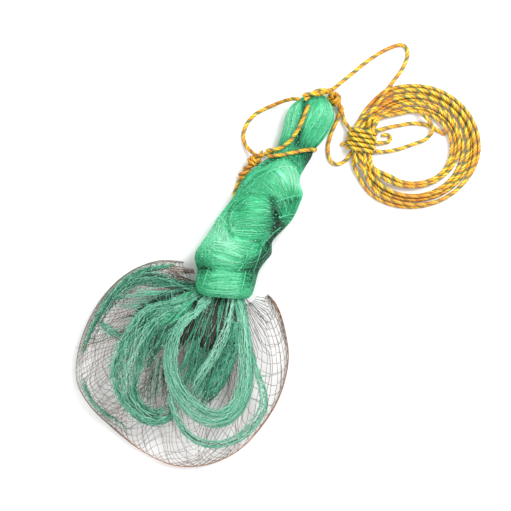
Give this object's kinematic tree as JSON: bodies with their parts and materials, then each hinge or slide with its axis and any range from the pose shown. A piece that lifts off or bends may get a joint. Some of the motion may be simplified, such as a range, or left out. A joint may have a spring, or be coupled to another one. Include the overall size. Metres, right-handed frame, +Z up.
{
  "type": "fishing net with its rope",
  "caption": "Wound green monofilament fishing net with a gathered head, a loose puffed end of open mesh and a yellow rope tied to its neck and coiled beside it.",
  "frame": {"origin": "on the surface it lies on, under the middle of the netting's own box, the rope left out", "axes": "+Z up from the surface, +Y along the net from its loose end to its head, +X to the right with the rope coil"},
  "size_m": [0.4684, 0.491, 0.06],
  "materials": {
    "netting": "wound nylon monofilament, glossy threads",
    "bunched_netting": "gathered nylon monofilament, slightly milky",
    "loose_netting": "single knotted threads, grey-brown to pale green",
    "rope": "laid polypropylene, yellow and orange with a green tracer"
  },
  "bodies": {
    "root": {"hank": "netting", "skirt": "loose_netting", "bunch_front": "bunched_netting", "bunch_slant": "bunched_netting", "bunch_back": "bunched_netting", "bunch_outer": "bunched_netting", "bunch_left": "bunched_netting", "bunch_edge": "bunched_netting", "rope_left_loop": "rope", "rope_over_head": "rope", "rope_neck_wrap": "rope", "rope_neck_tail": "rope", "rope_hand_loop": "rope", "rope_link": "rope", "rope_small_loop": "rope", "rope_inner_high": "rope", "rope_inner_low": "rope", "rope_end_hook": "rope", "rope_end_stub": "rope", "rope_coil": "rope", "coil_tie": "rope", "head_knot": "rope", "neck_knot": "rope"}
  },
  "joints": []
}
